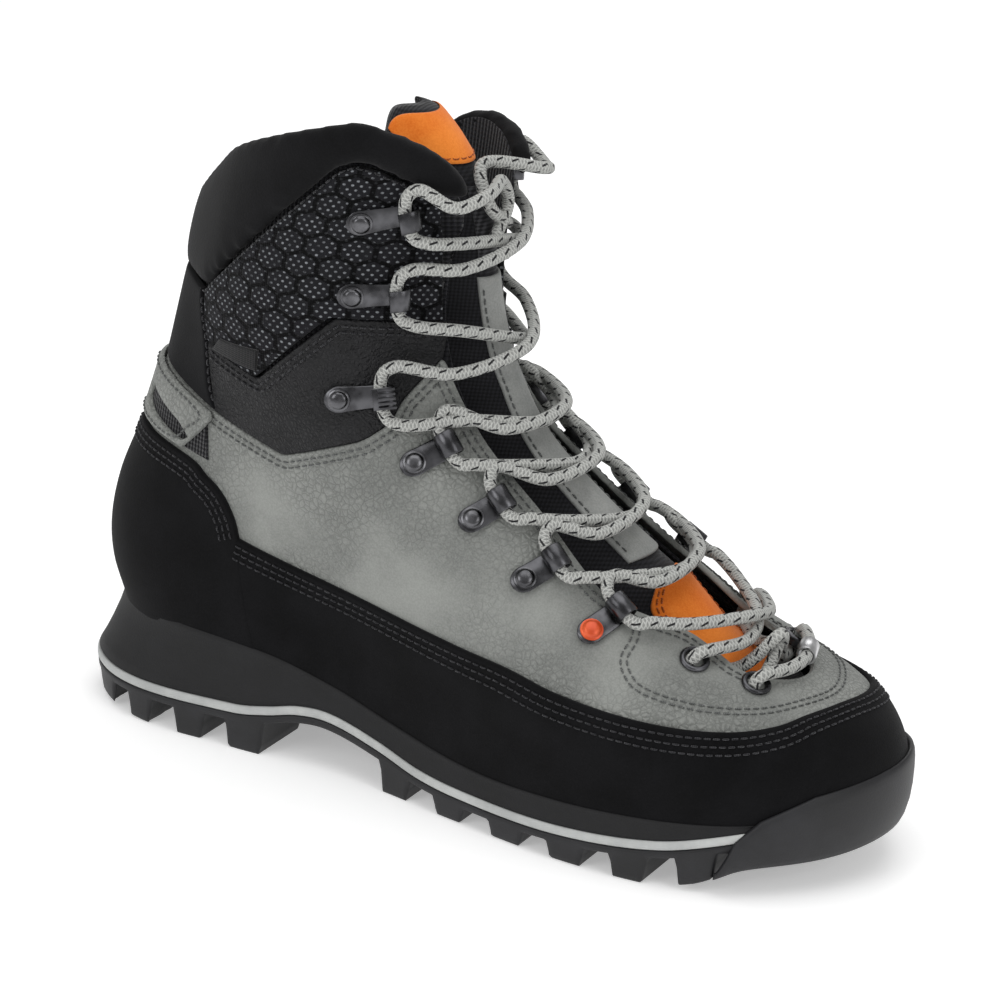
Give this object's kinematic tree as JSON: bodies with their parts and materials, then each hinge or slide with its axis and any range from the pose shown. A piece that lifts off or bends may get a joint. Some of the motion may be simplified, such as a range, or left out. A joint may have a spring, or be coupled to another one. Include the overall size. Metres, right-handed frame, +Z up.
{
  "type": "hiking boot",
  "caption": "Mid-height lace-up hiking boot for the right foot, with lugged outsole, toe and heel rand, padded collar, gusseted tongue, lace rings and locking hooks.",
  "frame": {"origin": "middle of the footprint's bounding box, on the ground plane", "axes": "+X from heel to toe, +Y towards the medial side, +Z up"},
  "size_m": [0.3082, 0.1098, 0.2395],
  "materials": {
    "foam": "fine grained black midsole foam",
    "steel": "satin",
    "stripe": "light grey moulded stripe",
    "rubber": "charcoal, matt, satin on the toe bumper",
    "board": "needled fibre board",
    "nubuck": "mid grey nubuck",
    "black_leather": "black pebbled leather",
    "black_suede": "black microfibre suede",
    "dotted_textile": "black textile with light grey dots",
    "lining": "dark grey lining textile over foam",
    "footbed_foam": "dark grey covered foam",
    "black_textile": "black woven textile",
    "orange_suede": "orange suede",
    "lace_textile": "light grey round braid with dark dashes",
    "dark_metal": "dark gunmetal",
    "accent_metal": "orange red enamel"
  },
  "bodies": {
    "boot": {"midsole": "foam", "shank": "steel", "midsole_stripe": "stripe", "outsole": "rubber", "lasting_board": "board", "upper_leather": "nubuck", "back_stay": "black_leather", "ankle_panel_lateral": "black_leather", "ankle_panel_medial": "black_leather", "cuff_panel_lateral": "dotted_textile", "cuff_panel_medial": "dotted_textile", "collar": "black_suede", "heel_cap": "black_suede", "rand": "black_suede", "heel_strap": "nubuck", "heel_webbing": "black_textile", "bootie_lining": "lining", "heel_counter": "board", "toe_puff": "board", "ring_lateral_1": "dark_metal", "ring_rivet_lateral_1": "accent_metal", "ring_lateral_2": "dark_metal", "ring_rivet_lateral_2": "dark_metal", "ring_lateral_3": "dark_metal", "ring_rivet_lateral_3": "dark_metal", "ring_lateral_4": "dark_metal", "ring_rivet_lateral_4": "dark_metal", "ring_medial_1": "dark_metal", "ring_rivet_medial_1": "accent_metal", "ring_medial_2": "dark_metal", "ring_rivet_medial_2": "dark_metal", "ring_medial_3": "dark_metal", "ring_rivet_medial_3": "dark_metal", "ring_medial_4": "dark_metal", "ring_rivet_medial_4": "dark_metal", "hook_lateral_1": "dark_metal", "hook_rivet_lateral_1": "dark_metal", "hook_lateral_2": "dark_metal", "hook_rivet_lateral_2": "dark_metal", "hook_lateral_3": "dark_metal", "hook_rivet_lateral_3": "dark_metal", "hook_medial_1": "dark_metal", "hook_rivet_medial_1": "dark_metal", "hook_medial_2": "dark_metal", "hook_rivet_medial_2": "dark_metal", "hook_medial_3": "dark_metal", "hook_rivet_medial_3": "dark_metal", "eyelet_lateral_1": "dark_metal", "eyelet_lateral_2": "dark_metal", "eyelet_medial_1": "dark_metal", "eyelet_medial_2": "dark_metal", "lace": "lace_textile", "lace_tag": "steel"},
    "tongue": {"tongue": "black_textile", "tongue_strip": "nubuck", "tongue_top": "orange_suede", "instep_patch": "orange_suede", "gusset_lateral": "black_textile", "gusset_medial": "black_textile"},
    "footbed": {"footbed": "footbed_foam"}
  },
  "joints": [
    {"name": "tongue_swing", "type": "hinge", "parent": "boot", "child": "tongue", "pos_m": [0.11938, -0.00256, 0.06], "axis": [0, -1, 0], "range_deg": [0, 5]},
    {"name": "footbed_lift", "type": "hinge", "parent": "boot", "child": "footbed", "pos_m": [0.13838, -0.00256, 0.032], "axis": [0, 1, 0], "range_deg": [0, 4]}
  ]
}
